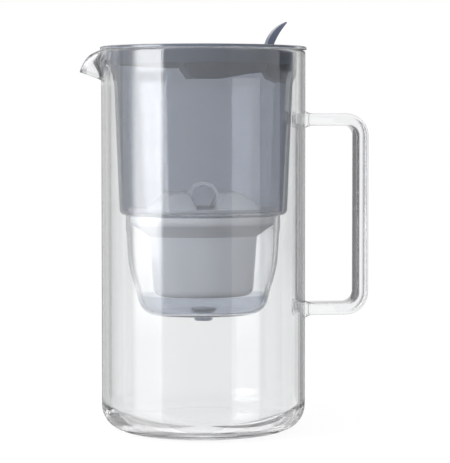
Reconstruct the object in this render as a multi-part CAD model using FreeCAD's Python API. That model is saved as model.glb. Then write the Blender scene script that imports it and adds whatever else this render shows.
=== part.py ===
import FreeCAD, Part
import math
import os

# Water filter pitcher, in millimetres. The origin is the middle of the jug's foot, +Z is up,
# the handle points along +X and the pouring beak along -X.

# Glass jug
jug_radius = 70.0
jug_height = 260.0
jug_wall = 4.6
jug_floor = 7.5
heel_round = 16.8
inner_heel_round = 13.0
rim_round = 1.6

# Pouring beak: a cone whose point lies on the wall below the rim, trimmed by an arched rim
beak_reach = 14.8
beak_drop = 21.0
lip_drop = 13.3
lip_thickness = 3.0
beak_slope = 25.0
beak_spread = 43.0
channel_spread = 40.0

# Glass handle: a flat bar in a squared loop, flared where it is fused to the wall
handle_reach = 114.0
handle_thickness = 8.2
handle_width = 20.0
handle_top = 216.8
handle_bottom = 77.8
handle_bend = 15.5
handle_edge_round = 2.2
weld_flare = 1.5
weld_length = 3.5

# Hopper: the reservoir that hangs on the rim
hopper_wall = 2.2
flange_thickness = 2.4
flange_overhang = 0.8
flange_edge_round = 0.8
collar_gap = 0.8
collar_height = 14.5
shoulder_height = 8.0
shoulder_step = 3.3
shoulder_round = 12.0
reservoir_depth = 112.3
reservoir_taper = 3.7
reservoir_corner_round = 3.8
rebate_depth = 1.8
rebate_width = 2.8
pour_channel_depth = 1.2
pour_channel_angle = 30.0

# Filter pocket under the reservoir, oval in plan
pocket_ledge = 4.2
pocket_width_share = 0.6367
pocket_depth = 69.2
pocket_mouth_height = 11.2
pocket_step = 0.4
pocket_taper_height = 23.5
pocket_taper = 1.4
pocket_lower_taper = 9.5
pocket_side_round = 60.0
pocket_corner_round = 13.0

# Drip nozzle in the pocket's floor
nozzle_radius = 6.3
nozzle_bore_radius = 3.6
nozzle_drop = 4.0
nozzle_collar_width = 2.2
nozzle_collar_height = 2.0
nozzle_fit = 0.05
nozzle_edge_round = 1.0

# Filter cartridge, oval like the pocket that it hangs in
cartridge_gap = 1.5
cartridge_wall = 1.3
cartridge_sump = 10.8
cartridge_corner_round = 6.0
cartridge_collar_height = 9.0
cartridge_collar_slope = 8.0
cartridge_body_inset = 12.7
cartridge_bottom_inset = 15.7
cartridge_flange_overlap = 0.6
cartridge_flange_thickness = 1.0
outlet_hole_radius = 2.0
outlet_hole_length_share = 0.161
outlet_hole_width_share = 0.264
outlet_hole_columns = 9
outlet_hole_rows = 3

# Soft seal round the cartridge's neck
seal_drop = 4.0
seal_height = 4.0
seal_gap = 0.8
seal_edge_round = 0.5

# Screens and granules inside the cartridge
mesh_thickness = 0.8
mesh_gap = 0.3
granule_gap = 0.3
granule_headroom = 3.0

# Cartridge cap: two hollow humps with a pull ring between them
cap_thickness = 1.1
cap_wall = 1.4
hump_height = 11.0
hump_width_share = 0.726
hump_top_inner_share = 0.2314
hump_top_outer_share = 0.4628
hump_foot_inner_share = 0.1207
hump_foot_outer_share = 0.7948
hump_top_round = 6.0
hump_inner_round = 2.8
hump_edge_round = 1.5
inlet_slot_width = 1.6
inlet_slot_pitch = 5.0
inlet_slot_count = 7
ring_radius = 10.6
ring_hole_radius = 8.6
ring_rise = 7.4
ring_half_width = 2.75
ring_foot = 7.5
ring_hole_foot = 5.0

# Lid: rim and skirt inside the hopper
lid_gap = 0.3
skirt_gap = 0.6
lid_wall = 1.8
lid_recess = 1.4
lid_rim_width = 5.8
lid_edge_round = 0.6
skirt_drop = 12.5

# Fill chute below the lid, cut off at a slant
chute_left_share = 0.2557
chute_width_share = 0.4854
chute_well_gap = 0.9
chute_corner_round = 12.0
chute_drop = 21.7
chute_left_taper = 5.6
chute_right_taper = 1.5
chute_side_taper = 5.0
chute_slant_rise = 5.8
chute_slant_start = 10.0

# Hinge of the flap, in the lever well beside the chute
hinge_inset = 12.2
hinge_drop = 14.6
pin_radius = 1.3
pin_play = 0.06
pin_fit = 0.02
ear_thickness = 2.0
ear_gap = 1.0
ear_reach = 2.6
well_reach_left = 7.7
well_round = 12.4
well_drop = 25.3
well_floor = 3.4
well_reach_foot = 6.7
well_reach_top = 10.9
well_foot_round = 0.9

# Flap and thumb lever
flap_thickness = 1.6
flap_overlap = 2.4
flap_corner_round = 14.0
flap_edge_round = 0.6
lever_width = 14.4
barrel_radius = 2.6
stem_reach = 5.0
stem_thickness = 4.8
stem_top_drop = 3.4
fin_root_reach = 6.2
fin_root_thickness = 4.6
fin_root_rise = 2.1
fin_tip_reach = 7.6
fin_tip_rise = 17.6
fin_tip_thickness = 0.9
fin_corner_round = 4.0
fin_front_shares = (0.29, 0.53)
fin_back_shares = (0.43, 0.50)
foot_length = 8.0
foot_thickness = 1.4

# Cutting tools run past what they cut by this much
overrun = 5.0

# Heights and radii that several pieces share
jug_bore = jug_radius - jug_wall
flange_top = jug_height + flange_thickness
collar_radius = jug_bore - collar_gap
collar_bore = collar_radius - hopper_wall
collar_foot = jug_height - collar_height
shoulder_foot = collar_foot - shoulder_height
reservoir_radius = collar_radius - shoulder_step
reservoir_foot_radius = reservoir_radius - reservoir_taper
reservoir_foot = jug_height - reservoir_depth
reservoir_floor = reservoir_foot + hopper_wall
rebate_level = flange_top - rebate_depth
rebate_radius = collar_bore + rebate_width
pocket_half_length = reservoir_foot_radius - pocket_ledge
pocket_half_width = pocket_half_length * pocket_width_share
pocket_foot = reservoir_foot - pocket_depth
pocket_floor = pocket_foot + hopper_wall
cup_half_length = pocket_half_length - hopper_wall - cartridge_gap
cup_half_width = pocket_half_width - hopper_wall - cartridge_gap
cup_foot = pocket_floor + cartridge_sump
cup_floor = cup_foot + cartridge_wall
cup_top = reservoir_floor + cartridge_flange_thickness
cap_top = cup_top + cap_thickness
hump_half_width = cup_half_width * hump_width_share
hump_top_inner = cup_half_length * hump_top_inner_share
hump_top_outer = cup_half_length * hump_top_outer_share
hump_foot_inner = cup_half_length * hump_foot_inner_share
hump_foot_outer = cup_half_length * hump_foot_outer_share
plate_top = flange_top - lid_recess
plate_foot = plate_top - lid_wall
skirt_radius = collar_bore - skirt_gap
skirt_foot = flange_top - skirt_drop
chute_foot = flange_top - chute_drop
hinge_from_axis = skirt_radius - hinge_inset
well_left = hinge_from_axis - well_reach_left
well_foot_right = hinge_from_axis + well_reach_foot
well_top_right = hinge_from_axis + well_reach_top
chute_left = -skirt_radius * chute_left_share
chute_right = well_left - chute_well_gap
chute_half_width = skirt_radius * chute_width_share
stem_left = hinge_from_axis - stem_reach
fin_root_left = hinge_from_axis - fin_root_reach
fin_tip_from_axis = hinge_from_axis + fin_tip_reach
flap_top = plate_top + flap_thickness
hinge_level = flange_top - hinge_drop
ear_inner = lever_width / 2 + ear_gap
ear_outer = ear_inner + ear_thickness
hinge_centre = FreeCAD.Vector(hinge_from_axis, 0, hinge_level)
upward = FreeCAD.Vector(0, 0, 1)
sideways = FreeCAD.Vector(0, 1, 0)
diagonal_share = math.sqrt(0.5)
same_place = 1e-6


def on_side(u, v):
    return FreeCAD.Vector(u, 0, v)


def on_level(level):
    return lambda u, v: FreeCAD.Vector(u, v, level)


def on_section(station, level):
    return lambda u, v: FreeCAD.Vector(station, u, level + v)


# Closed outline through corners (u, v, round), where place sets a flat point in space
def outline(corners, place):
    joints = []
    for index, (u, v, corner_round) in enumerate(corners):
        here = FreeCAD.Vector(u, v, 0)
        before = FreeCAD.Vector(*corners[index - 1][:2], 0).sub(here).normalize()
        after = FreeCAD.Vector(*corners[(index + 1) % len(corners)][:2], 0).sub(here).normalize()
        middle = here
        if corner_round:
            half_turn = before.getAngle(after) / 2
            set_back = corner_round / math.tan(half_turn)
            bulge = corner_round / math.sin(half_turn) - corner_round
            middle = here + before.add(after).normalize() * bulge
            joints.append((here + before * set_back, middle, here + after * set_back))
        else:
            joints.append((here, here, here))
    edges = []
    for index, (start, middle, end) in enumerate(joints):
        last = joints[index - 1][2]
        if last.distanceToPoint(start) > same_place:
            edges.append(Part.LineSegment(place(last.x, last.y), place(start.x, start.y)).toShape())
        if start.distanceToPoint(end) > same_place:
            points = [place(point.x, point.y) for point in (start, middle, end)]
            edges.append(Part.Arc(*points).toShape())
    return Part.Wire(edges)


def turned(corners):
    face = Part.Face(outline(corners, on_side))
    return face.revolve(FreeCAD.Vector(), upward, 360)


# Turned solid pressed to an oval plan: its width across Y is this share of its length
def oval(corners, width_share):
    press = FreeCAD.Matrix()
    press.scale(1, width_share, 1)
    return turned(corners).transformGeometry(press)


# Side outline drawn out evenly to both sides of the middle plane
def drawn_out(wire, half_width):
    slab = Part.Face(wire).extrude(sideways * (2 * half_width))
    return slab.translated(sideways * -half_width)


def block(low, high):
    return Part.makeBox(*(high - low), low)


def cross_bar(radius, half_length, centre):
    return Part.makeCylinder(radius, 2 * half_length, centre - sideways * half_length, sideways)


def rounded_rectangle(left, right, half_width, corner_round):
    return [
        (left, -half_width, corner_round),
        (right, -half_width, corner_round),
        (right, half_width, corner_round),
        (left, half_width, corner_round),
    ]


# Cone of the beak that opens upward and outward from its point, with its underside at the beak's slope
def beak_cone(point, spread):
    length = 2 * beak_drop
    lean = math.radians(beak_slope + spread)
    along = FreeCAD.Vector(-math.cos(lean), 0, math.sin(lean))
    return Part.makeCone(0, length * math.tan(math.radians(spread)), length, point, along)


# Side outline under the beak's rim, which arches down from the jug's rim to the lip
def arch_wire():
    tip = jug_radius + beak_reach
    foot = jug_height - beak_drop - overrun
    lip = on_side(-tip, jug_height - lip_drop)
    crest = on_side(-jug_radius, jug_height)
    middle = on_side(
        -jug_radius - beak_reach * diagonal_share, jug_height - lip_drop + lip_drop * diagonal_share)
    corners = [crest, on_side(-jug_bore, jug_height), on_side(-jug_bore, foot), on_side(-tip, foot), lip]
    edges = [Part.Arc(lip, middle, crest).toShape()]
    for start, end in zip(corners, corners[1:]):
        edges.append(Part.LineSegment(start, end).toShape())
    return Part.Wire(edges)


def glass_jug():
    body = turned([
        (0, 0, 0),
        (jug_radius, 0, heel_round),
        (jug_radius, jug_height, rim_round),
        (0, jug_height, 0),
    ])
    bore = turned([
        (0, jug_floor, 0),
        (jug_bore, jug_floor, inner_heel_round),
        (jug_bore, jug_height, rim_round),
        (jug_radius - rim_round, jug_height, 0),
        (jug_radius - rim_round, jug_height + overrun, 0),
        (0, jug_height + overrun, 0),
    ])
    slope = math.radians(beak_slope)
    sunk = jug_wall / 2
    start = jug_height - beak_drop
    beak = beak_cone(on_side(sunk - jug_radius, start - sunk * math.tan(slope)), beak_spread)
    beak = beak.common(drawn_out(arch_wire(), jug_bore))
    inward = jug_wall - lip_thickness * math.sin(slope)
    channel_start = start + lip_thickness * math.cos(slope) - inward * math.tan(slope)
    channel = beak_cone(on_side(-jug_bore, channel_start), channel_spread)
    return body.fuse(beak).cut(bore).cut(channel).removeSplitter()


def glass_handle():
    inside = jug_bore
    grip = handle_reach - handle_thickness
    inner_bend = handle_bend - handle_thickness
    loop = drawn_out(outline([
        (inside, handle_top, 0),
        (handle_reach, handle_top, handle_bend),
        (handle_reach, handle_bottom, handle_bend),
        (inside, handle_bottom, 0),
        (inside, handle_bottom + handle_thickness, 0),
        (grip, handle_bottom + handle_thickness, inner_bend),
        (grip, handle_top - handle_thickness, inner_bend),
        (inside, handle_top - handle_thickness, 0),
    ], on_side), handle_width / 2)
    long_edges = [edge for edge in loop.Edges if edge.BoundBox.YLength < same_place]
    handle = loop.makeFillet(handle_edge_round, long_edges)
    half_bar = handle_thickness / 2
    for level in (handle_top - half_bar, handle_bottom + half_bar):
        sections = []
        for station, flare in ((inside, weld_flare), (jug_radius + weld_length, 0)):
            half = half_bar + flare
            side = handle_width / 2 + flare
            corners = rounded_rectangle(-side, side, half, handle_edge_round)
            sections.append(outline(corners, on_section(station, level)))
        handle = handle.fuse(Part.makeLoft(sections, True, True))
    return handle.cut(Part.makeCylinder(jug_radius, jug_height)).removeSplitter()


# Corners of the pocket's outline, moved inward for the space inside it
def pocket_corners(inset, top):
    step_level = reservoir_foot - pocket_mouth_height
    side = pocket_half_length - pocket_step - inset
    bend = side - pocket_taper
    bend_level = step_level - pocket_taper_height
    foot = bend - pocket_lower_taper
    mouth = pocket_half_length - inset
    ledge = [(mouth, step_level, 0), (side, step_level, 0)]
    if inset:
        ledge = [(mouth, reservoir_floor, 0)]
    return [(0, top, 0), (mouth, top, 0)] + ledge + [
        (bend, bend_level, pocket_side_round),
        (foot, pocket_foot + inset, pocket_corner_round - inset),
        (0, pocket_foot + inset, 0),
    ]


def hopper():
    reservoir = turned([
        (0, reservoir_foot, 0),
        (reservoir_foot_radius, reservoir_foot, reservoir_corner_round),
        (reservoir_radius, shoulder_foot, shoulder_round),
        (collar_radius, collar_foot, shoulder_round),
        (collar_radius, jug_height, 0),
        (jug_radius + flange_overhang, jug_height, flange_edge_round),
        (jug_radius + flange_overhang, flange_top, flange_edge_round),
        (rebate_radius, flange_top, 0),
        (rebate_radius, rebate_level, 0),
        (collar_bore, rebate_level, 0),
        (collar_bore, collar_foot, shoulder_round),
        (reservoir_radius - hopper_wall, shoulder_foot, shoulder_round),
        (reservoir_foot_radius - hopper_wall, reservoir_floor, reservoir_corner_round - hopper_wall),
        (0, reservoir_floor, 0),
    ])
    pocket = oval(pocket_corners(0, reservoir_floor), pocket_half_width / pocket_half_length)
    inside_share = (pocket_half_width - hopper_wall) / (pocket_half_length - hopper_wall)
    inside = oval(pocket_corners(hopper_wall, reservoir_floor + overrun), inside_share)
    outlet = Part.makeCylinder(nozzle_radius + nozzle_fit, 2 * overrun, on_side(0, pocket_foot - overrun))
    channel_base = on_side(0, shoulder_foot)
    channel_height = jug_height - shoulder_foot
    sector = Part.makeCylinder(
        collar_radius + overrun, channel_height, channel_base, upward, pour_channel_angle)
    sector.rotate(FreeCAD.Vector(), upward, 180 - pour_channel_angle / 2)
    kept = Part.makeCylinder(collar_radius - pour_channel_depth, channel_height, channel_base)
    body = reservoir.fuse(pocket).cut(inside).cut(outlet)
    return body.cut(sector.cut(kept)).removeSplitter()


def drip_nozzle():
    collar_top = pocket_floor + nozzle_collar_height
    collar = nozzle_radius + nozzle_collar_width
    return turned([
        (nozzle_bore_radius, pocket_foot - nozzle_drop, 0),
        (nozzle_radius, pocket_foot - nozzle_drop, nozzle_edge_round),
        (nozzle_radius, pocket_floor, 0),
        (collar, pocket_floor, 0),
        (collar, collar_top, nozzle_edge_round),
        (nozzle_bore_radius, collar_top, 0),
    ])


# Cup outline: a collar that fits the pocket, then a slimmer body; moved inward for the space inside it
def cup_corners(inset, floor_rise, top):
    collar_foot = reservoir_floor - cartridge_collar_height + floor_rise
    side = cup_half_length - inset
    return [
        (0, top, 0),
        (side, top, 0),
        (side, collar_foot, 0),
        (side - cartridge_body_inset, collar_foot - cartridge_collar_slope, 0),
        (side - cartridge_bottom_inset, cup_foot + floor_rise, cartridge_corner_round - floor_rise),
        (0, cup_foot + floor_rise, 0),
    ]


def cup_share(inset):
    return (cup_half_width - inset) / (cup_half_length - inset)


def cup_space(inset, low, high):
    span = block(
        FreeCAD.Vector(-pocket_half_length, -pocket_half_length, low),
        FreeCAD.Vector(pocket_half_length, pocket_half_length, high),
    )
    return oval(cup_corners(inset, cartridge_wall, cup_top), cup_share(inset)).common(span)


def oval_plate(half_length, half_width, low, high):
    corners = [(0, low, 0), (half_length, low, 0), (half_length, high, 0), (0, high, 0)]
    return oval(corners, half_width / half_length)


def cartridge_flange(low, high):
    reach = cartridge_gap + cartridge_flange_overlap
    return oval_plate(cup_half_length + reach, cup_half_width + reach, low, high)


def cartridge_cup():
    cup = oval(cup_corners(0, 0, cup_top), cup_share(0))
    cup = cup.fuse(cartridge_flange(reservoir_floor, cup_top))
    space = cup_corners(cartridge_wall, cartridge_wall, cup_top + overrun)
    cup = cup.cut(oval(space, cup_share(cartridge_wall)))
    for column in range(outlet_hole_columns):
        for row in range(outlet_hole_rows):
            along = (column - (outlet_hole_columns - 1) / 2) * outlet_hole_length_share * cup_half_length
            across = (row - (outlet_hole_rows - 1) / 2) * outlet_hole_width_share * cup_half_width
            foot = FreeCAD.Vector(along, across, cup_foot - overrun)
            cup = cup.cut(Part.makeCylinder(outlet_hole_radius, 2 * overrun, foot))
    return cup


def cartridge_seal():
    high = reservoir_floor - seal_drop
    low = high - seal_height
    half_length = pocket_half_length - hopper_wall - seal_gap
    half_width = pocket_half_width - hopper_wall - seal_gap
    ring = oval([
        (0, low, 0),
        (half_length, low, seal_edge_round),
        (half_length, high, seal_edge_round),
        (0, high, 0),
    ], half_width / half_length)
    return ring.cut(oval(cup_corners(0, 0, cup_top), cup_share(0)))


def inlet_mesh():
    return cup_space(cartridge_wall + mesh_gap, cup_top - mesh_thickness, cup_top)


def outlet_mesh():
    return cup_space(cartridge_wall + mesh_gap, cup_floor, cup_floor + mesh_thickness)


def filter_granules():
    inset = cartridge_wall + granule_gap
    return cup_space(inset, cup_floor + mesh_thickness, cup_top - granule_headroom)


# Side outline of one hump: direction is 1 toward the handle and -1 toward the beak
def hump_wire(direction):
    return outline([
        (direction * hump_foot_inner, cup_top, 0),
        (direction * hump_top_inner, cap_top + hump_height, hump_inner_round),
        (direction * hump_top_outer, cap_top + hump_height, hump_top_round),
        (direction * hump_foot_outer, cup_top, 0),
    ], on_side)


def cartridge_cap():
    cap = cartridge_flange(cup_top, cap_top)
    for direction in (-1, 1):
        hump = drawn_out(hump_wire(direction), hump_half_width)
        brow = [
            edge for edge in hump.Edges
            if edge.BoundBox.YLength < same_place and edge.BoundBox.ZMax > cap_top
        ]
        hump = hump.makeFillet(hump_edge_round, brow)
        hollow = Part.Face(hump_wire(direction)).makeOffset2D(-cap_wall)
        hollow = hollow.extrude(sideways * (2 * (hump_half_width - cap_wall)))
        hollow = hollow.translated(sideways * (cap_wall - hump_half_width))
        throat = block(
            FreeCAD.Vector(hollow.BoundBox.XMin, cap_wall - hump_half_width, cup_top - overrun),
            FreeCAD.Vector(hollow.BoundBox.XMax, hump_half_width - cap_wall, hollow.BoundBox.ZMin),
        )
        cap = cap.fuse(hump).cut(hollow).cut(throat)
        slot_low = (hump_top_outer + hump_foot_outer) / 2
        for index in range(inlet_slot_count):
            middle = (index - (inlet_slot_count - 1) / 2) * inlet_slot_pitch
            near = direction * slot_low
            far = direction * (hump_foot_outer + overrun)
            cap = cap.cut(block(
                FreeCAD.Vector(min(near, far), middle - inlet_slot_width / 2, cap_top + cap_wall),
                FreeCAD.Vector(max(near, far), middle + inlet_slot_width / 2, cap_top + hump_height / 2),
            ))
    return cap.fuse(pull_ring()).removeSplitter()


def ring_plate(radius, foot, half_width, low):
    centre = on_side(0, cap_top + ring_rise)
    knee = radius * diagonal_share
    legs = outline([
        (-foot, low, 0),
        (foot, low, 0),
        (knee, centre.z - knee, 0),
        (-knee, centre.z - knee, 0),
    ], on_side)
    return cross_bar(radius, half_width, centre).fuse(drawn_out(legs, half_width))


def pull_ring():
    ring = ring_plate(ring_radius, ring_foot, ring_half_width, cap_top)
    hole = ring_plate(ring_hole_radius, ring_hole_foot, ring_half_width + overrun, cap_top)
    below = block(
        FreeCAD.Vector(-ring_radius, -ring_half_width, cup_top - overrun),
        FreeCAD.Vector(ring_radius, ring_half_width, cap_top),
    )
    return ring.cut(hole).cut(below)


# Lever well: a gutter under the lid that the lever's barrel turns in
def well_corners(left, floor, foot_right, top_right, corner_round):
    return outline([
        (left, plate_top, 0),
        (left, floor, corner_round),
        (foot_right, floor, well_foot_round),
        (top_right, plate_top, 0),
    ], on_side)


def chute_solid(inset, top):
    left = chute_left + inset
    right = chute_right - inset
    half_width = chute_half_width - inset
    corner_round = chute_corner_round - inset
    upper = rounded_rectangle(left, right, half_width, corner_round)
    lower = rounded_rectangle(
        left + chute_left_taper,
        right - chute_right_taper,
        half_width - chute_side_taper,
        corner_round - chute_side_taper / 2,
    )
    neck = Part.Face(outline(upper, on_level(skirt_foot))).extrude(upward * (top - skirt_foot))
    ends = [outline(upper, on_level(skirt_foot)), outline(lower, on_level(chute_foot))]
    bowl = Part.makeLoft(ends, True, True)
    return neck.fuse(bowl)


def lid():
    rim_inner = rebate_radius - lid_gap - lid_rim_width
    body = turned([
        (0, plate_foot, 0),
        (skirt_radius - lid_wall, plate_foot, 0),
        (skirt_radius - lid_wall, skirt_foot, 0),
        (skirt_radius, skirt_foot, lid_edge_round),
        (skirt_radius, rebate_level, 0),
        (rebate_radius - lid_gap, rebate_level, 0),
        (rebate_radius - lid_gap, flange_top, lid_edge_round),
        (rim_inner, flange_top, lid_edge_round),
        (rim_inner, plate_top, 0),
        (0, plate_top, 0),
    ])
    slant_end = chute_foot + chute_slant_rise
    below = chute_foot - overrun
    slant = drawn_out(outline([
        (chute_left - overrun, below, 0),
        (chute_right + overrun, below, 0),
        (chute_right, slant_end, 0),
        (chute_slant_start, chute_foot, 0),
        (chute_left - overrun, chute_foot, 0),
    ], on_side), chute_half_width + overrun)
    chute = chute_solid(0, plate_top).cut(slant)
    well_foot = flange_top - well_drop
    well_side = well_corners(well_left, well_foot, well_foot_right, well_top_right, well_round)
    well = drawn_out(well_side, ear_outer)
    well_space = well_corners(
        well_left + lid_wall,
        well_foot + well_floor,
        well_foot_right - lid_wall,
        well_top_right - lid_wall,
        well_round - well_floor,
    )
    ears = well.common(block(
        FreeCAD.Vector(well_left, -ear_outer, below),
        FreeCAD.Vector(hinge_from_axis + ear_reach, ear_outer, plate_foot),
    )).cut(drawn_out(well_space, ear_inner))
    gutter = well.cut(drawn_out(well_space, ear_outer + overrun))
    slot = drawn_out(well_space, ear_inner)
    body = body.fuse([chute, gutter, ears]).cut(slot).cut(chute_solid(lid_wall, plate_top + overrun))
    bore = cross_bar(pin_radius + pin_fit, ear_outer + overrun, hinge_centre)
    return body.cut(bore).removeSplitter()


def fill_flap():
    right = fin_root_left
    corners = rounded_rectangle(
        chute_left - flap_overlap, right, chute_half_width + flap_overlap, flap_corner_round)
    plate = Part.Face(outline(corners, on_level(plate_top))).extrude(upward * flap_thickness)
    brow = [edge for edge in plate.Edges if edge.BoundBox.ZMin > flap_top - same_place]
    return plate.makeFillet(flap_edge_round, brow)


def thumb_lever():
    root_level = flange_top + fin_root_rise
    tip_level = flange_top + fin_tip_rise
    root_right = fin_root_left + fin_root_thickness
    stem_top = flange_top - stem_top_drop
    rise = tip_level - root_level

    def between(start, end, shares):
        return on_side(start + (end - start) * shares[0], root_level + rise * shares[1])

    front_root = on_side(fin_root_left, root_level)
    back_root = on_side(root_right, root_level)
    front_tip = on_side(fin_tip_from_axis, tip_level)
    back_tip = on_side(fin_tip_from_axis, tip_level - fin_tip_thickness)
    front_middle = between(fin_root_left, fin_tip_from_axis, fin_front_shares)
    back_middle = between(root_right, fin_tip_from_axis, fin_back_shares)
    stem_points = [
        back_root,
        on_side(stem_left + stem_thickness, stem_top),
        hinge_centre + on_side(barrel_radius, 0),
        hinge_centre - on_side(barrel_radius, 0),
        on_side(stem_left, stem_top),
        front_root,
    ]
    edges = [
        Part.Arc(front_root, front_middle, front_tip).toShape(),
        Part.LineSegment(front_tip, back_tip).toShape(),
        Part.Arc(back_tip, back_middle, back_root).toShape(),
    ]
    for start, end in zip(stem_points, stem_points[1:]):
        edges.append(Part.LineSegment(start, end).toShape())
    half_width = lever_width / 2
    lever = drawn_out(Part.Wire(edges), half_width)
    lever = lever.fuse(cross_bar(barrel_radius, half_width, hinge_centre))
    lever = lever.fuse(block(
        FreeCAD.Vector(stem_left - foot_length, -half_width, flap_top),
        FreeCAD.Vector(stem_left, half_width, flap_top + foot_thickness),
    ))
    front = outline([
        (-half_width, hinge_level - overrun, 0),
        (half_width, hinge_level - overrun, 0),
        (half_width, tip_level, fin_corner_round),
        (-half_width, tip_level, fin_corner_round),
    ], on_section(0, 0))
    silhouette = Part.Face(front).extrude(on_side(jug_radius, 0))
    lever = lever.common(silhouette)
    return lever.cut(cross_bar(pin_radius + pin_play, ear_outer, hinge_centre)).removeSplitter()


def hinge_pin():
    return cross_bar(pin_radius, ear_outer, hinge_centre)


pieces = {
    "glass_jug": glass_jug,
    "glass_handle": glass_handle,
    "hopper": hopper,
    "drip_nozzle": drip_nozzle,
    "cartridge_cup": cartridge_cup,
    "cartridge_cap": cartridge_cap,
    "cartridge_seal": cartridge_seal,
    "inlet_mesh": inlet_mesh,
    "outlet_mesh": outlet_mesh,
    "filter_granules": filter_granules,
    "lid": lid,
    "fill_flap": fill_flap,
    "thumb_lever": thumb_lever,
    "hinge_pin": hinge_pin,
}

os.makedirs("parts", exist_ok=True)
for name, make in pieces.items():
    shape = make()
    box = shape.BoundBox
    print(
        name, "valid" if shape.isValid() else "INVALID", len(shape.Solids), "solid",
        round(shape.Volume), "mm3", [round(value, 2) for value in (
            box.XMin, box.XMax, box.YMin, box.YMax, box.ZMin, box.ZMax)],
    )
    shape.exportStep("parts/" + name + ".step")
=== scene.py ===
import bpy
import bmesh
import math
import numpy as np
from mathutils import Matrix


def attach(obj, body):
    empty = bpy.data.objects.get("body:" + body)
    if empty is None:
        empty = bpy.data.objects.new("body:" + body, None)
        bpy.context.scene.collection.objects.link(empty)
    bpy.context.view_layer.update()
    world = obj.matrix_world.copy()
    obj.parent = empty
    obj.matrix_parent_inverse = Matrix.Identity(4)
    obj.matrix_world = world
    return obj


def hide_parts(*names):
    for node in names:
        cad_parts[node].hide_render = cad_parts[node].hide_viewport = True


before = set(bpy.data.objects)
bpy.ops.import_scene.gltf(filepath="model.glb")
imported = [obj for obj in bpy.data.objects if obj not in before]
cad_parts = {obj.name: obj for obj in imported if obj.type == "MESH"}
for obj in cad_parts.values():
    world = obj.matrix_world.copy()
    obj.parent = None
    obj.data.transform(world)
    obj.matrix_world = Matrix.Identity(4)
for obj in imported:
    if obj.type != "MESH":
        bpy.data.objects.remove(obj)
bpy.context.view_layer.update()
scene = bpy.context.scene
scene.view_settings.view_transform = "Standard"
# the glass lets lamps through by its shadow rays instead of caustics
scene.cycles.caustics_refractive = False
scene.cycles.caustics_reflective = False
bounces = 24
scene.cycles.max_bounces = bounces
scene.cycles.transmission_bounces = bounces
scene.cycles.glossy_bounces = bounces
scene.cycles.transparent_max_bounces = bounces
mm = 0.001
mergeDistance, sliverLength = 2e-6, 1e-7
print("frame loaded:", len(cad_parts), "nodes")


# profile through corners (r, z, round): each inner corner becomes an arc of its radius
def roundedProfile(corners, arcSteps, closed=False):
    points, owners = [], []
    count = len(corners)
    for index, (r, z, radius) in enumerate(corners):
        here = np.array([r, z], float)
        ends = not closed and index in (0, count - 1)
        if not radius or ends:
            points.append(here[None])
            owners.append(index)
            continue
        before = np.array(corners[index - 1][:2], float) - here
        after = np.array(corners[(index + 1) % count][:2], float) - here
        before /= np.linalg.norm(before)
        after /= np.linalg.norm(after)
        half = math.acos(np.clip(before @ after, -1, 1)) / 2
        bisector = (before + after) / np.linalg.norm(before + after)
        centre = here + bisector * radius / math.sin(half)
        start = here + before * radius / math.tan(half) - centre
        end = here + after * radius / math.tan(half) - centre
        first = math.atan2(start[1], start[0])
        sweep = (math.atan2(end[1], end[0]) - first + math.pi) % (2 * math.pi) - math.pi
        angles = first + sweep * np.linspace(0, 1, arcSteps + 1)
        points.append(centre + radius * np.stack([np.cos(angles), np.sin(angles)], 1))
        owners += [index] * (arcSteps + 1)
    return np.concatenate(points), np.array(owners)


# points (rows, columns, 3) in millimetres become a smooth mesh whose columns close on themselves
def gridPiece(name, points, sharpAngle, closeRows=False):
    rows, columns = points.shape[:2]
    index = np.arange(rows * columns).reshape(rows, columns)
    if closeRows:
        index = np.concatenate([index, index[:1]])
    side = np.roll(index, -1, axis=1)
    quads = np.stack([index[:-1], side[:-1], side[1:], index[1:]], -1).reshape(-1, 4)
    mesh = bpy.data.meshes.new(name)
    mesh.from_pydata((points.reshape(-1, 3) * mm).tolist(), [], quads.tolist())
    return finishPiece(name, mesh, sharpAngle, True)


# doubles merged, a grid's faces turned outward, smooth except at edges sharper than the angle
def finishPiece(name, mesh, sharpAngle, recalculate):
    shape = bmesh.new()
    shape.from_mesh(mesh)
    bmesh.ops.remove_doubles(shape, verts=shape.verts, dist=mergeDistance)
    bmesh.ops.dissolve_degenerate(shape, edges=shape.edges, dist=sliverLength)
    if recalculate:
        bmesh.ops.recalc_face_normals(shape, faces=shape.faces)
    shape.to_mesh(mesh)
    shape.free()
    mesh.polygons.foreach_set("use_smooth", np.ones(len(mesh.polygons), bool))
    mesh.set_sharp_from_angle(angle=math.radians(sharpAngle))
    mesh.update()
    piece = bpy.data.objects.new(name, mesh)
    scene.collection.objects.link(piece)
    return piece


# a CAD node's mesh, merged and smoothed, as a piece of its own
def smoothCopy(node, name, sharpAngle):
    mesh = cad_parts[node].data.copy()
    mesh.name = name
    if "custom_normal" in mesh.attributes:
        mesh.attributes.remove(mesh.attributes["custom_normal"])
    mesh.materials.clear()
    return finishPiece(name, mesh, sharpAngle, False)


def dress(piece, body, node, material):
    piece.data.materials.append(material)
    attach(piece, body)
    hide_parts(node)


# a value socket that adds Math nodes for the operators used on it
class Signal:
    def __init__(self, tree, socket):
        self.tree = tree
        self.socket = socket

    def math(self, operation, first, second):
        return self.tree.add("ShaderNodeMath", {"operation": operation}, {0: first, 1: second})

    def __add__(self, other):
        return self.math("ADD", self, other)

    __radd__ = __add__

    def __mul__(self, other):
        return self.math("MULTIPLY", self, other)

    __rmul__ = __mul__

    def __sub__(self, other):
        return self.math("SUBTRACT", self, other)

    def __rsub__(self, other):
        return self.math("SUBTRACT", other, self)

    def __gt__(self, other):
        return self.math("GREATER_THAN", self, other)

    def __lt__(self, other):
        return self.math("LESS_THAN", self, other)

    def larger(self, other):
        return self.math("MAXIMUM", self, other)


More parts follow.
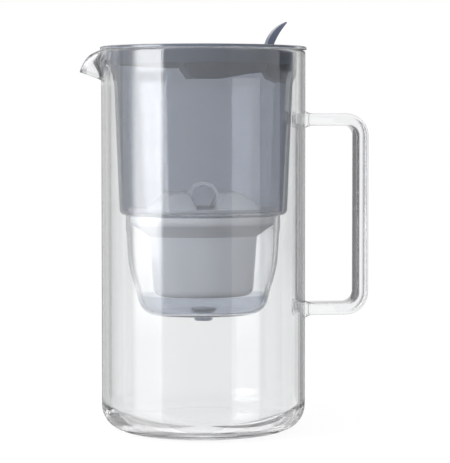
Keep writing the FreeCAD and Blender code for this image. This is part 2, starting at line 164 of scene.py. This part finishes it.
# node tree of a material or world: add makes any node, sets it and fills or links its sockets
class Tree:
    def __init__(self, owner):
        owner.use_nodes = True
        self.nodes = owner.node_tree.nodes
        self.links = owner.node_tree.links
        self.nodes.clear()

    def add(self, kind, settings=None, sockets=None, output=0):
        node = self.nodes.new(kind)
        for key, value in (settings or {}).items():
            if key == "stops":
                self.setStops(node.color_ramp, value)
            else:
                setattr(node, key, value)
        for key, value in (sockets or {}).items():
            if isinstance(value, Signal):
                self.links.new(value.socket, node.inputs[key])
            else:
                node.inputs[key].default_value = value
        return Signal(self, node.outputs[output]) if len(node.outputs) else node

    def setStops(self, ramp, stops):
        while len(ramp.elements) < len(stops):
            ramp.elements.new(1)
        for element, (position, colour) in zip(ramp.elements, stops):
            element.position = position
            element.color = (*colour, 1)

    def objectCoords(self):
        return self.add("ShaderNodeTexCoord", output=3)

    def axes(self, vector, wanted):
        return [self.add("ShaderNodeSeparateXYZ", {}, {0: vector}, output=axis) for axis in wanted]

    def noise(self, scale, detail, stretch=(1, 1, 1)):
        place = self.add("ShaderNodeMapping", {}, {0: self.objectCoords(), 3: stretch})
        return self.add("ShaderNodeTexNoise", {}, {"Vector": place, "Scale": scale, "Detail": detail})

    def bump(self, height, distance):
        return self.add("ShaderNodeBump", {}, {"Height": height, "Distance": distance, "Strength": 1.0})

    # 0 at the start, 1 at the end, held beyond them
    def spread(self, value, start, end):
        return self.add("ShaderNodeMapRange", {}, {0: value, 1: start, 2: end, 3: 0.0, 4: 1.0})

    # how far a surface turns away from the ray that meets it
    def facing(self):
        return self.add("ShaderNodeLayerWeight", {}, {"Blend": 0.5}, output=1)

    def blend(self, share, first, second):
        sockets = {0: share, 6: first, 7: (*second, 1)}
        return self.add("ShaderNodeMix", {"data_type": "RGBA"}, sockets, output=2)

    # camera, mirrored and transmitted rays
    def seeingRays(self):
        return [self.add("ShaderNodeLightPath", output="Is " + kind + " Ray")
                for kind in ("Camera", "Glossy", "Transmission")]


def newMaterial(name):
    material = bpy.data.materials.new(name)
    return material, Tree(material)


# clear or tinted wall: refracts what is seen, and lets lamps through on shadow rays
def clearMaterial(name, look):
    material, tree = newMaterial(name)
    haze = tree.noise(look["hazeScale"], look["hazeDetail"])
    ripple = tree.noise(look["rippleScale"], look["rippleDetail"], look["rippleStretch"])
    along, height = tree.axes(tree.objectCoords(), (0, 2))
    colour = (*look["colour"], 1)
    for level, above in look["bands"]:
        colour = tree.blend(height > level, colour, above)
    # painted shade: a wall seen edge-on is painted dark, except at its foot and in the beak
    turned = tree.spread(tree.facing(), look["paintedEdgeStart"], look["paintedEdgeEnd"])
    inBeak = (height > look["beakFoot"]) * (along < look["beakSide"])
    colour = tree.blend(turned * (height > look["paintedEdgeFoot"]) * (1 - inBeak), colour, look["paintedEdgeLightAndShade"])
    # painted shade: the faces that look into the handle's loop are painted dark too
    if "paintedLoopShade" in look:
        outward, upward = tree.axes(tree.add("ShaderNodeTexCoord", output=1), (0, 2))
        grip = (outward * -1) * (along > look["gripSide"])
        foot = upward * (height < look["footLevel"]) * look["footShare"]
        loopShadeShare = tree.spread(grip.larger(foot), look["paintedLoopStart"], look["paintedLoopEnd"])
        colour = tree.blend(loopShadeShare, colour, look["paintedLoopShade"])
    wall = tree.add("ShaderNodeBsdfPrincipled", {}, {
        "Base Color": colour,
        "Roughness": look["roughness"] + haze * look["hazeAmount"],
        "IOR": look["ior"],
        "Transmission Weight": look["clear"],
        "Normal": tree.bump(ripple, look["rippleHeight"]),
    })
    passing = tree.add("ShaderNodeBsdfTransparent", {}, {"Color": (*look["lampColour"], 1)})
    shadow = tree.add("ShaderNodeLightPath", output="Is Shadow Ray")
    mixed = tree.add("ShaderNodeMixShader", {}, {0: shadow, 1: wall, 2: passing})
    tree.add("ShaderNodeOutputMaterial", {}, {"Surface": mixed})
    return material


# moulded plastic: base colour drifts a little, gloss varies, the skin has a fine grain
moulded = {
    "driftDetail": 2, "grainDetail": 3, "scuffDetail": 5, "driftLow": 0.3, "driftHigh": 0.7, "depth": 0.001,
}


def mouldedMaterial(name, look):
    material, tree = newMaterial(name)
    drift = tree.noise(look["driftScale"], moulded["driftDetail"])
    grain = tree.noise(look["grainScale"], moulded["grainDetail"])
    scuff = tree.noise(look["scuffScale"], moulded["scuffDetail"], look["scuffStretch"])
    low = [channel * (1 - look["drift"]) for channel in look["colour"]]
    high = [min(channel * (1 + look["drift"]), 1) for channel in look["colour"]]
    stops = [(moulded["driftLow"], low), (moulded["driftHigh"], high)]
    colour = tree.add("ShaderNodeValToRGB", {"stops": stops}, {0: drift})
    # painted highlight: edges seen at a grazing angle are painted paler
    if "paintedEdgeLightAndShade" in look:
        lift = tree.spread(tree.facing(), look["paintedEdgeStart"], look["paintedEdgeEnd"])
        colour = tree.blend(lift, colour, look["paintedEdgeLightAndShade"])
    if "bodyColour" in look:
        height = tree.axes(tree.objectCoords(), (2,))[0]
        colour = tree.blend(height < look["bodyTop"], colour, look["bodyColour"])
    wall = tree.add("ShaderNodeBsdfPrincipled", {}, {
        "Base Color": colour,
        "Roughness": look["roughness"] + (scuff - 0.5) * look["scuff"],
        "IOR": look["ior"],
        "Subsurface Weight": look.get("subsurface", 0.0),
        "Subsurface Radius": (1.0, 1.0, 1.0),
        "Subsurface Scale": look.get("depth", moulded["depth"]),
        "Normal": tree.bump(grain, look["grainHeight"]),
    })
    tree.add("ShaderNodeOutputMaterial", {}, {"Surface": wall})
    return material


glassLook = {
    "colour": (0.906, 0.913, 0.917), "bands": (), "ior": 1.5, "roughness": 0.0, "clear": 0.987,
    "hazeScale": 60, "hazeDetail": 4, "hazeAmount": 0.012, "lampColour": (0.99, 0.99, 0.99),
    "rippleScale": 26, "rippleDetail": 1, "rippleStretch": (1, 1, 0.3), "rippleHeight": 0.00004,
    # painted shade: the edge colour paints the glass black where it is seen edge-on
    "paintedEdgeLightAndShade": (0.0, 0.0, 0.0), "paintedEdgeStart": 0.64, "paintedEdgeEnd": 1.0, "paintedEdgeFoot": 0.02,
    "beakFoot": 0.236, "beakSide": -0.055,
}
handleLook = {
    # painted shade: the handle's edges darken from a lower facing value, and the loop colour paints the faces
    # looking into the loop dark
    **glassLook, "paintedEdgeStart": 0.45, "paintedEdgeEnd": 0.9, "paintedLoopShade": (0.13, 0.13, 0.14),
    "paintedLoopStart": 0.1, "paintedLoopEnd": 0.5, "gripSide": 0.1, "footLevel": 0.09, "footShare": 0.28,
}
# from the bottom up: the sump, the clear pocket wall, the darker reservoir and the flange, whose paler colour
# is painted light
tintLook = {
    **glassLook, "colour": (0.66, 0.69, 0.745),
    "bands": ((0.0925, (0.955, 0.96, 0.97)), (0.1478, (0.485, 0.51, 0.565)), (0.2598, (0.86, 0.875, 0.90))),
    "ior": 1.49, "roughness": 0.015, "clear": 0.968, "hazeScale": 90, "hazeAmount": 0.03,
    "rippleScale": 30, "rippleStretch": (1, 1, 0.5), "rippleHeight": 0.00003,
    "lampColour": (0.95, 0.955, 0.965),
    # painted shade: the tinted wall's edge colour paints it near black where it is seen edge-on
    "paintedEdgeLightAndShade": (0.05, 0.055, 0.07), "paintedEdgeStart": 0.56, "paintedEdgeFoot": 0.1, "beakFoot": 1.0, "beakSide": -1.0,
}
nozzleLook = {
    **tintLook, "colour": (0.45, 0.48, 0.55), "bands": (), "roughness": 0.12, "lampColour": (0.9, 0.91, 0.93),
}
# the cap is white with a painted highlight that makes its edges paler, the cup below it is greyer
milkyLook = {
    "colour": (0.89, 0.905, 0.93), "paintedEdgeLightAndShade": (0.99, 0.99, 1.0), "paintedEdgeStart": 0.3, "paintedEdgeEnd": 0.7,
    "bodyColour": (0.60, 0.63, 0.70), "bodyTop": 0.1495, "drift": 0.015, "driftScale": 30,
    "ior": 1.47, "roughness": 0.4, "scuffScale": 120, "scuffStretch": (1, 1, 0.2), "scuff": 0.15,
    "grainScale": 1800, "grainHeight": 0.00002, "subsurface": 0.35, "depth": 0.002,
}
lidLook = {
    "colour": (0.12, 0.15, 0.225), "drift": 0.02, "driftScale": 20, "ior": 1.36, "roughness": 0.42,
    "scuffScale": 90, "scuffStretch": (1, 0.3, 1), "scuff": 0.1, "grainScale": 1500, "grainHeight": 0.00001,
}
leverLook = {**lidLook, "colour": (0.10, 0.113, 0.155), "roughness": 0.2}
pinLook = {**lidLook, "colour": (0.10, 0.11, 0.14), "roughness": 0.35}
# the seal's edges carry the same painted highlight as the milky plastic
sealLook = {**milkyLook, "colour": (0.72, 0.74, 0.78), "roughness": 0.6, "bodyTop": 0.0}
granuleLook = {
    "colour": (0.20, 0.18, 0.16), "drift": 0.6, "driftScale": 900, "ior": 1.5, "roughness": 0.7,
    "scuffScale": 700, "scuffStretch": (1, 1, 1), "scuff": 0.3, "grainScale": 900, "grainHeight": 0.0008,
}

clearGlass = clearMaterial("clearGlass", glassLook)
handleGlass = clearMaterial("handleGlass", handleLook)
tintedPlastic = clearMaterial("tintedPlastic", tintLook)
nozzlePlastic = clearMaterial("nozzlePlastic", nozzleLook)
milkyPlastic = mouldedMaterial("milkyPlastic", milkyLook)
lidPlastic = mouldedMaterial("lidPlastic", lidLook)
leverPlastic = mouldedMaterial("leverPlastic", leverLook)
pinPlastic = mouldedMaterial("pinPlastic", pinLook)
sealRubber = mouldedMaterial("sealRubber", sealLook)
granuleBed = mouldedMaterial("granuleBed", granuleLook)


# the dark gap colour is painted shade in the openings of the weave
wovenLook = {
    "threads": 320, "gapPaintedShade": (0.35, 0.36, 0.37), "threadColour": (0.86, 0.87, 0.88), "gapStop": 0.35,
    "threadStop": 0.6, "roughness": 0.5, "roughnessRise": 0.2, "height": 0.0002,
}


# woven screen: two sets of waves cross, raised threads are pale and the openings are painted dark as shade
def screenMaterial(name, look):
    material, tree = newMaterial(name)
    sets = []
    for direction in ("X", "Y"):
        sets.append(tree.add("ShaderNodeTexWave", {"bands_direction": direction}, {
            "Vector": tree.objectCoords(), "Scale": look["threads"], "Distortion": 0.0}, output=1))
    weave = sets[0] * 0.5 + sets[1] * 0.5
    stops = [(look["gapStop"], look["gapPaintedShade"]), (look["threadStop"], look["threadColour"])]
    wall = tree.add("ShaderNodeBsdfPrincipled", {}, {
        "Base Color": tree.add("ShaderNodeValToRGB", {"stops": stops}, {0: weave}),
        "Roughness": look["roughness"] + weave * look["roughnessRise"],
        "Normal": tree.bump(weave, look["height"]),
    })
    tree.add("ShaderNodeOutputMaterial", {}, {"Surface": wall})
    return material


wovenScreen = screenMaterial("wovenScreen", wovenLook)
print("materials made")


jug = {
    "radius": 70.0, "bore": 65.4, "height": 260.0, "floor": 7.5, "heel": 16.8, "innerHeel": 13.0,
    "rimRise": 1.8, "plainHeight": 205.0, "columns": 336, "wallRows": 46, "rimRows": 9, "arcSteps": 14,
    "sharpAngle": 80,
}
beak = {
    "halfWidth": 25.0, "reach": 14.8, "lipDrop": 13.3, "drop": 6.0, "flankDrop": 9.0, "fillet": 0.2,
    "thinning": 2.9,
}


# top of the wall under the rounded rim: it sinks with the cube of the bell value toward the beak's lip
def rimHeight(bell):
    return jug["height"] - beak["lipDrop"] * bell ** 3 - jug["rimRise"]


# outward pull of the wall at a height, for a column's bell value (1 at the beak's middle, 0 beside it)
def beakPull(z, bell):
    rim = rimHeight(bell)
    start = rim - beak["drop"] - beak["flankDrop"] * (1 - bell)
    share = np.clip((z - start) / (rim - start), 0, 1)
    k = beak["fillet"]
    curve = (np.sqrt(share ** 2 + k * k) - k) / (math.sqrt(1 + k * k) - k)
    return beak["reach"] * bell * curve


# the jug is a turned profile, outer wall up and inner wall down, pulled out to the beak at -X
def makeJug():
    angle = np.linspace(0, 2 * math.pi, jug["columns"], endpoint=False)
    fromBeak = np.abs(angle - math.pi)
    bell = np.cos(np.clip(fromBeak * jug["radius"] / beak["halfWidth"], 0, 1) * math.pi / 2) ** 2
    rim = rimHeight(bell)
    foot, _ = roundedProfile([
        (0, 0, 0),
        (jug["radius"], 0, jug["heel"]),
        (jug["radius"], jug["plainHeight"], 0),
    ], jug["arcSteps"])
    inside, _ = roundedProfile([
        (jug["bore"], jug["plainHeight"], 0),
        (jug["bore"], jug["floor"], jug["innerHeel"]),
        (0, jug["floor"], 0),
    ], jug["arcSteps"])
    share = np.linspace(0, 1, jug["wallRows"])[1:, None]
    z = jug["plainHeight"] + (rim - jug["plainHeight"])[None] * share
    outer = jug["radius"] + beakPull(z, bell[None])
    inner = jug["bore"] + (1 + beak["thinning"] / beak["reach"]) * beakPull(z, bell[None])
    turn = np.linspace(0, math.pi, jug["rimRows"] + 2)[1:-1, None]
    middle, half = (outer[-1] + inner[-1]) / 2, (outer[-1] - inner[-1]) / 2
    rimRadius = middle[None] + half[None] * np.cos(turn)
    rimLevel = rim[None] + jug["rimRise"] * np.sin(turn)
    columns = np.ones((1, jug["columns"]))
    radius = np.concatenate([foot[:, :1] * columns, outer, rimRadius, inner[::-1], inside[:, :1] * columns])
    level = np.concatenate([foot[:, 1:] * columns, z, rimLevel, z[::-1], inside[:, 1:] * columns])
    points = np.stack([radius * np.cos(angle), radius * np.sin(angle), level], -1)
    return gridPiece("glassJug", points, jug["sharpAngle"])


handle = {
    "sunk": 68.9, "reach": 114.0, "top": 216.8, "bottom": 77.8, "thickness": 8.2, "width": 20.0, "bend": 15.5,
    "edgeRound": 2.2, "flare": 1.6, "flareLength": 5.0, "collarSteps": (0.0, 0.8, 1.6, 2.6, 3.8, 5.5),
    "bendSteps": 16, "edgeSteps": 6, "straightRows": 3, "sharpAngle": 60,
}


# rounded bar carried along a squared loop, flared where it meets the wall, ends closed in the wall
def makeHandle():
    half = handle["thickness"] / 2
    high, low, grip = handle["top"] - half, handle["bottom"] + half, handle["reach"] - half
    steps = [handle["sunk"] + step for step in handle["collarSteps"]]
    corners = [(x, high, 0) for x in steps]
    corners += [(grip, high, handle["bend"] - half), (grip, low, handle["bend"] - half)]
    corners += [(x, low, 0) for x in reversed(steps)]
    path, _ = roundedProfile(corners, handle["bendSteps"])
    tangent = np.gradient(path, axis=0)
    tangent[:handle["straightRows"]], tangent[-handle["straightRows"]:] = (1, 0), (-1, 0)
    tangent /= np.linalg.norm(tangent, axis=1, keepdims=True)
    normal = np.stack([-tangent[:, 1], tangent[:, 0]], 1)
    w, t, edge = handle["width"] / 2, half, handle["edgeRound"]
    section, _ = roundedProfile(
        [(-w, -t, edge), (w, -t, edge), (w, t, edge), (-w, t, edge)], handle["edgeSteps"], closed=True)
    near = np.clip(1 - (path[:, 0] - jug["radius"]) / handle["flareLength"], 0, 1) ** 2 * handle["flare"]
    across = section[None, :, 0] * (1 + near[:, None] / w)
    deep = section[None, :, 1] * (1 + near[:, None] / t)
    points = np.stack([
        path[:, None, 0] + normal[:, None, 0] * deep,
        across,
        path[:, None, 1] + normal[:, None, 1] * deep,
    ], -1)
    caps = [np.broadcast_to(points[end].mean(0), points[end].shape)[None] for end in (0, -1)]
    return gridPiece("glassHandle", np.concatenate([caps[0], points, caps[1]]), handle["sharpAngle"])


dress(makeJug(), "jug", "glass_jug", clearGlass)
dress(makeHandle(), "jug", "glass_handle", handleGlass)
print("glass jug and handle made")


# the oval pocket's half length and half width, outside and inside
pocketHalf, pocketHalfAcross, innerHalf, innerHalfAcross = 53.4, 34.0, 51.2, 31.8
pocketShare, innerPocketShare = pocketHalfAcross / pocketHalf, innerHalfAcross / innerHalf
hopper = {
    "columns": 256, "arcSteps": 10, "sharpAngle": 40,
    # (r along X, z, round, width share across Y), outside from the rim down, then inside up
    "profile": [
        (65.2, 262.4, 0.3, 1), (70.8, 262.4, 0.8, 1), (70.8, 260.0, 0.8, 1), (64.6, 260.0, 0.5, 1),
        (64.6, 245.5, 12.0, 1), (61.3, 237.5, 12.0, 1), (57.6, 147.7, 3.8, 1),
        (pocketHalf, 147.7, 0.0, pocketShare), (pocketHalf, 136.5, 0.15, pocketShare),
        (53.0, 136.5, 0.15, pocketShare), (51.6, 113.0, 60.0, pocketShare), (42.1, 78.5, 13.0, pocketShare),
        (6.35, 78.5, 0.0, 1), (6.35, 80.7, 0.0, 1), (39.9, 80.7, 10.8, innerPocketShare),
        (49.4, 113.0, 60.0, innerPocketShare), (innerHalf, 149.9, 0.0, innerPocketShare),
        (55.4, 149.9, 1.6, 1), (59.1, 237.5, 12.0, 1), (62.4, 245.5, 12.0, 1), (62.4, 260.6, 0.2, 1),
        (65.2, 260.6, 0.2, 1),
    ],
    # a pouring channel is pressed into the neck behind the beak
    "channelDepth": 1.2, "channelHalfAngle": 15.0, "channelFlank": 1.5, "channelReach": 64.7,
    "channelCorners": (3, 4),
}
nozzle = {
    "columns": 96, "arcSteps": 6, "sharpAngle": 40,
    "profile": [
        (3.6, 74.5, 0.3), (6.3, 74.5, 1.0), (6.3, 80.7, 0.2),
        (8.5, 80.7, 0.0), (8.5, 82.7, 1.0), (3.6, 82.7, 0.3),
    ],
}


# turned profile whose rows are circles in the reservoir and ovals in the pocket
def makeHopper():
    corners = [corner[:3] for corner in hopper["profile"]]
    shares = np.array([corner[3] for corner in hopper["profile"]])
    profile, owners = roundedProfile(corners, hopper["arcSteps"], closed=True)
    angle = np.linspace(0, 2 * math.pi, hopper["columns"], endpoint=False)[None]
    fromBeak = np.degrees(np.abs(angle - math.pi))
    channel = np.clip((hopper["channelHalfAngle"] - fromBeak) / hopper["channelFlank"], 0, 1)
    inChannel = np.isin(owners, hopper["channelCorners"]) & (profile[:, 0] < hopper["channelReach"])
    radius = profile[:, :1] - inChannel[:, None] * (channel * hopper["channelDepth"])
    y = radius * shares[owners][:, None] * np.sin(angle)
    points = np.stack([radius * np.cos(angle), y, profile[:, 1:] + 0 * angle], -1)
    return gridPiece("hopperShell", points, hopper["sharpAngle"], closeRows=True)


# turned profile, a circle on every row
def makeNozzle():
    profile, _ = roundedProfile(nozzle["profile"], nozzle["arcSteps"], closed=True)
    angle = np.linspace(0, 2 * math.pi, nozzle["columns"], endpoint=False)[None]
    radius = profile[:, :1]
    points = np.stack([radius * np.cos(angle), radius * np.sin(angle), profile[:, 1:] + 0 * angle], -1)
    return gridPiece("dripNozzle", points, nozzle["sharpAngle"], closeRows=True)


dress(makeHopper(), "hopper", "hopper", tintedPlastic)
dress(makeNozzle(), "hopper", "drip_nozzle", nozzlePlastic)
print("hopper and nozzle made")


copySharpAngle = 30
for node, name, body, slot, material in (
    ("cartridge_cup", "cartridgeCup", "cartridge", "milky_plastic", milkyPlastic),
    ("cartridge_cap", "cartridgeCap", "cartridge", "milky_plastic", milkyPlastic),
    ("cartridge_seal", "cartridgeSeal", "cartridge", "seal_rubber", sealRubber),
    ("lid", "lidShell", "lid", "lid_plastic", lidPlastic),
    ("hinge_pin", "hingePin", "lid", "pin_plastic", pinPlastic),
    ("fill_flap", "fillFlap", "flap", "lid_plastic", lidPlastic),
    ("thumb_lever", "thumbLever", "flap", "lever_plastic", leverPlastic),
):
    dress(smoothCopy(node, name, copySharpAngle), body, node, material)
for node, material in (
    ("inlet_mesh", wovenScreen),
    ("outlet_mesh", wovenScreen),
    ("filter_granules", granuleBed),
):
    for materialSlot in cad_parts[node].material_slots:
        materialSlot.material = material
print("cartridge, lid and lever dressed")


view = {
    "distance": 1.3165, "height": 0.21635, "turn": 7.0, "yaw": 0.647, "tilt": 2.262, "shiftY": -0.09,
    "lens": 148.8, "sensor": 36,
}
heading = math.radians(view["turn"])
towardCamera = np.array([-math.sin(heading), -math.cos(heading)])
cameraRight = np.array([math.cos(heading), -math.sin(heading)])


def makeCamera():
    data = bpy.data.cameras.new("camera")
    data.lens = view["lens"]
    data.sensor_width = view["sensor"]
    data.shift_y = view["shiftY"]
    camera = bpy.data.objects.new("camera", data)
    camera.location = (*(towardCamera * view["distance"]), view["height"])
    camera.rotation_euler = (math.radians(90 - view["tilt"]), 0, -heading - math.radians(view["yaw"]))
    scene.collection.objects.link(camera)
    scene.camera = camera


world = {"white": 1.0, "diffuse": 0.5}


# white for what is seen, mirrored and seen through glass; a plain level for the light on the object
def makeWorld():
    scene.world = scene.world or bpy.data.worlds.new("studio")
    tree = Tree(scene.world)
    cameraRay, glossyRay, throughRay = tree.seeingRays()
    shown = (cameraRay + glossyRay + throughRay) > 0.5
    plain = tree.add("ShaderNodeBackground", {}, {"Color": (1, 1, 1, 1), "Strength": world["diffuse"]})
    white = tree.add("ShaderNodeBackground", {}, {"Color": (1, 1, 1, 1), "Strength": world["white"]})
    mixed = tree.add("ShaderNodeMixShader", {}, {0: shown, 1: plain, 2: white})
    tree.add("ShaderNodeOutputWorld", {}, {"Surface": mixed})


# floor: mostly plain white to the eye, with enough of its own shade to keep the shadow
floor = {
    "half": 6.0, "level": -0.0003, "colour": (0.86, 0.86, 0.86), "white": 1.02, "farShare": 0.97,
    "nearShare": 0.84, "nearReach": 0.35, "sweepHalf": 0.09, "sweepSpread": 0.15, "sweepSoft": 0.05,
    "beside": 0.75, "frontStart": -0.08, "frontEnd": -0.14, "grainScale": 40, "grainDetail": 2, "grain": 0.2,
}


def makeFloor():
    half, z = floor["half"], floor["level"]
    corners = [(-half, -half, z), (half, -half, z), (half, half, z), (-half, half, z)]
    mesh = bpy.data.meshes.new("floor")
    mesh.from_pydata(corners, [], [(0, 1, 2, 3)])
    material, tree = newMaterial("paleFloor")
    place = tree.objectCoords()
    reach = tree.add("ShaderNodeVectorMath", {"operation": "LENGTH"}, {0: place}, output=1)
    near = 1 - tree.spread(reach, 0.0, floor["nearReach"])
    share = floor["farShare"] - near * (floor["farShare"] - floor["nearShare"])
    # a white sweep runs from under the jug to the backdrop; glass sees a greyer floor beside it
    along, across = [
        tree.add("ShaderNodeVectorMath", {"operation": "DOT_PRODUCT"}, {0: place, 1: (*way, 0)}, output=1)
        for way in (-towardCamera, cameraRight)]
    sideways = tree.add("ShaderNodeMath", {"operation": "ABSOLUTE"}, {0: across})
    outside = sideways - along.larger(0.0) * floor["sweepSpread"]
    beside = tree.spread(outside, floor["sweepHalf"], floor["sweepHalf"] + floor["sweepSoft"])
    inFront = tree.spread(along, floor["frontStart"], floor["frontEnd"])
    cameraRay, glossyRay, throughRay = tree.seeingRays()
    seen = (cameraRay + glossyRay + throughRay) > 0.5
    level = floor["white"] - beside.larger(inFront) * (1 - cameraRay) * (floor["white"] - floor["beside"])
    shade = tree.add("ShaderNodeBsdfDiffuse", {}, {
        "Color": (*floor["colour"], 1),
        "Roughness": tree.noise(floor["grainScale"], floor["grainDetail"]) * floor["grain"],
    })
    white = tree.add("ShaderNodeEmission", {}, {"Color": level, "Strength": 1.0})
    mixed = tree.add("ShaderNodeMixShader", {}, {0: share * seen, 1: shade, 2: white})
    # mirrored rays go on to the screens, which reach below the floor
    passing = tree.add("ShaderNodeBsdfTransparent")
    sheet = tree.add("ShaderNodeMixShader", {}, {0: glossyRay, 1: mixed, 2: passing})
    tree.add("ShaderNodeOutputMaterial", {}, {"Surface": sheet})
    mesh.materials.append(material)
    piece = bpy.data.objects.new("floor", mesh)
    scene.collection.objects.link(piece)


# upright curved screens round the jug; angles in degrees from the camera's direction, plus is to its right
# a lamp lights the object, an unmirrored screen shows in no gloss or glass, a through screen shows in glass
screenColumns = 33
screens = {
    "keyBox": {
        "angles": (-88, -44.5), "distance": 0.5, "levels": (-5, 0.0, 0.12, 0.62),
        "levelShares": (0.3, 0.3, 1, 1), "strengths": (0.0, 5.2), "fadeEnd": 0.34, "lift": 0.25, "lamp": True,
    },
    "fillPanel": {
        "angles": (30, 62), "distance": 0.6, "levels": (-5, 0.2505), "strengths": (1.3, 1.3), "lamp": True,
    },
    "rimStrip": {
        "angles": (121, 135), "distance": 0.6, "levels": (-5, 0.55), "strengths": (1.1, 1.1), "lamp": True,
    },
    "frontLamp": {
        "angles": (-80, -25), "distance": 1.1, "levels": (0.15, 0.8), "strengths": (6.4, 6.4), "lamp": True,
        "mirrored": False,
    },
    "sideLamp": {
        "angles": (62, 112), "distance": 0.7, "levels": (0.02, 0.5), "strengths": (4.0, 4.0), "lamp": True,
        "mirrored": False,
    },
    "darkRoom": {"angles": (-105, 105), "distance": 1.9, "levels": (-9, 1.6), "strengths": (0.1, 0.1)},
    "leftEdge": {
        "angles": (-135, -105), "distance": 1.7, "levels": (-9, 1.4), "strengths": (0.5, 0.5),
        "through": True,
    },
    "rightEdge": {
        "angles": (98, 138), "distance": 1.7, "levels": (-9, -0.1, 0.0, 0.3, 0.4, 1.4),
        "levelShares": (1, 1, 0.12, 0.12, 1, 1), "strengths": (0.7, 0.7), "through": True,
    },
    "leftFlag": {
        "angles": (-135, -160), "distance": 1.6, "levels": (-9, 1.2), "strengths": (0.68, 0.62),
        "through": True,
    },
    "rightFlag": {
        "angles": (138, 160), "distance": 1.6, "levels": (-9, 1.2), "strengths": (0.42, 0.32),
        "through": True,
    },
    "leftRim": {"angles": (-160, -172), "distance": 1.6, "levels": (-9, 1.2), "strengths": (0.35, 0.35)},
    "rightRim": {"angles": (160, 172), "distance": 1.6, "levels": (-9, 1.2), "strengths": (0.35, 0.35)},
}


def makeScreen(name, spec):
    angle = np.radians(np.linspace(*spec["angles"], screenColumns))
    plan = (np.cos(angle)[:, None] * towardCamera + np.sin(angle)[:, None] * cameraRight) * spec["distance"]
    rows = [np.column_stack([plan, np.full(screenColumns, level)]) for level in spec["levels"]]
    index = (np.arange(len(rows) - 1)[:, None] * screenColumns + np.arange(screenColumns - 1)).ravel()
    quads = np.stack([index, index + 1, index + screenColumns + 1, index + screenColumns], 1)
    mesh = bpy.data.meshes.new(name)
    mesh.from_pydata(np.concatenate(rows).tolist(), [], quads.tolist())
    fade = np.clip(np.linspace(0, 1, screenColumns) / spec.get("fadeEnd", 1.0), 0, 1)
    first, last = spec["strengths"]
    glow = first + (last - first) * fade * fade * (3 - 2 * fade)
    glow *= np.linspace(1, 1 + spec.get("lift", 0.0), screenColumns)
    shares = np.array(spec.get("levelShares", [1] * len(rows)))
    values = (shares[:, None] * glow).ravel().astype(np.float32)
    mesh.attributes.new("glow", "FLOAT", "POINT").data.foreach_set("value", values)
    material, tree = newMaterial(name)
    level = tree.add("ShaderNodeAttribute", {"attribute_name": "glow"}, {}, output=2)
    light = tree.add("ShaderNodeEmission", {}, {"Color": level, "Strength": 1.0})
    tree.add("ShaderNodeOutputMaterial", {}, {"Surface": light})
    mesh.materials.append(material)
    piece = bpy.data.objects.new(name, mesh)
    scene.collection.objects.link(piece)
    lamp, mirrored = spec.get("lamp", False), spec.get("mirrored", True)
    piece.visible_camera = False
    piece.visible_shadow = False
    piece.visible_diffuse = lamp
    piece.visible_glossy = mirrored
    piece.visible_transmission = mirrored and (lamp or spec.get("through", False))


makeCamera()
makeWorld()
makeFloor()
for name, spec in screens.items():
    makeScreen(name, spec)
print("camera, light and floor set")
